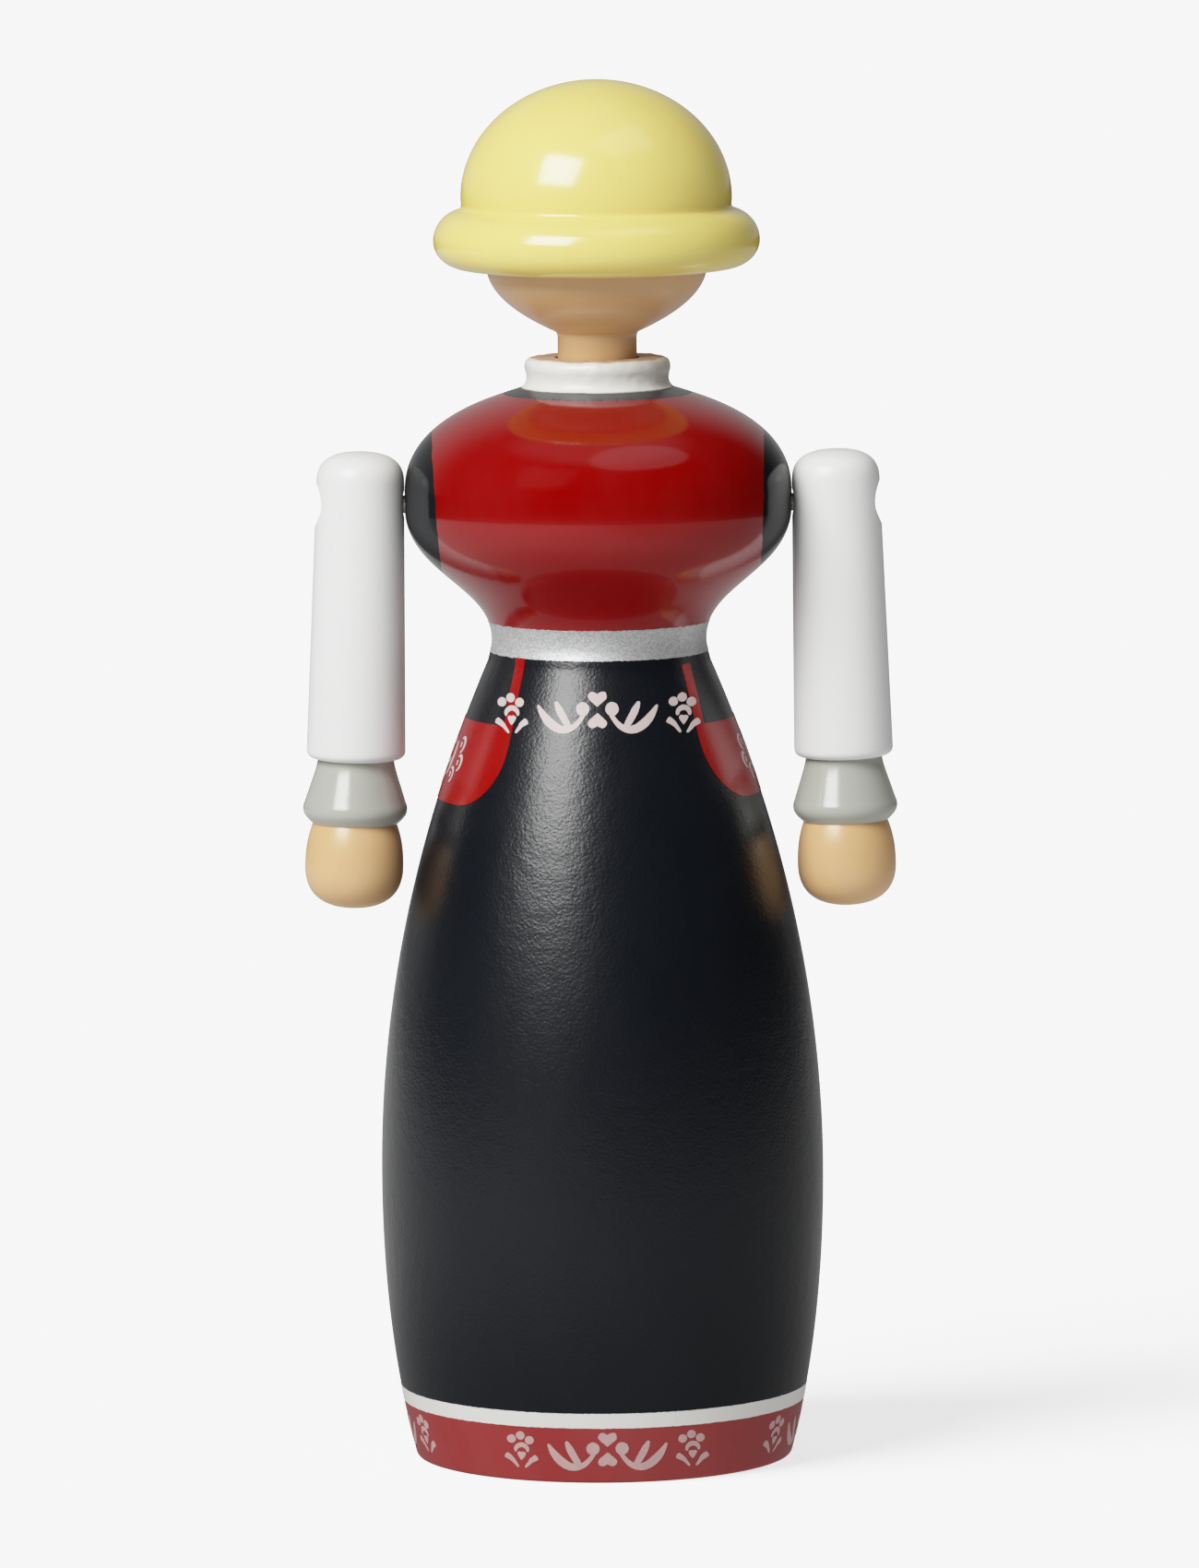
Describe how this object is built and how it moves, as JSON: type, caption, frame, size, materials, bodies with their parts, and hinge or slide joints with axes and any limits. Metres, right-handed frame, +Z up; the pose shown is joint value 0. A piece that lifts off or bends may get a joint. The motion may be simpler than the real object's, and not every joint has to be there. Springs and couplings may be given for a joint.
{
  "type": "turned wooden doll with swinging arms",
  "caption": "Turned wooden doll in a long flared skirt, with a dome of hair with a rolled brim, a head that turns and two arms that swing on an elastic cord.",
  "frame": {"origin": "centre of the flat base, where the doll stands", "axes": "+Z up, front of the doll towards -Y, the doll's own left arm at +X"},
  "size_m": [0.0862, 0.0644, 0.2],
  "materials": {
    "skirt_enamel": "satin blue-black enamel on turned beech, orange-peel surface",
    "bodice_enamel": "high-gloss red enamel",
    "black_enamel": "high-gloss black enamel",
    "hem_enamel": "satin red enamel",
    "silver_enamel": "flaked silver paint",
    "trim_enamel": "satin white paint line",
    "ornament_print": "matt pale pink printed ornament",
    "collar_enamel": "thick satin white paint, bare wood on the top face",
    "skin_enamel": "satin peach enamel",
    "hair_enamel": "gloss pale yellow enamel, wood grain telegraphing through",
    "sleeve_enamel": "satin white enamel",
    "cuff_enamel": "gloss grey-green enamel",
    "elastic": "braided elastic cord"
  },
  "bodies": {
    "torso": {"body": "skirt_enamel", "collar": "collar_enamel", "shoulder_cord": "elastic", "neck_cord": "elastic"},
    "head": {"head": "skin_enamel", "hair": "hair_enamel"},
    "arm_left": {"sleeve_left": "sleeve_enamel", "cuff_left": "cuff_enamel", "hand_left": "skin_enamel"},
    "arm_right": {"sleeve_right": "sleeve_enamel", "cuff_right": "cuff_enamel", "hand_right": "skin_enamel"}
  },
  "joints": [
    {"name": "head_turn", "type": "hinge", "parent": "torso", "child": "head", "pos_m": [0, 0, 0.1557], "axis": [0, 0, 1], "continuous": true},
    {"name": "arm_left_swing", "type": "hinge", "parent": "torso", "child": "arm_left", "pos_m": [0.0278, 0, 0.1389], "axis": [1, 0, 0], "continuous": true},
    {"name": "arm_right_swing", "type": "hinge", "parent": "torso", "child": "arm_right", "pos_m": [-0.0278, 0, 0.1389], "axis": [1, 0, 0], "continuous": true}
  ]
}
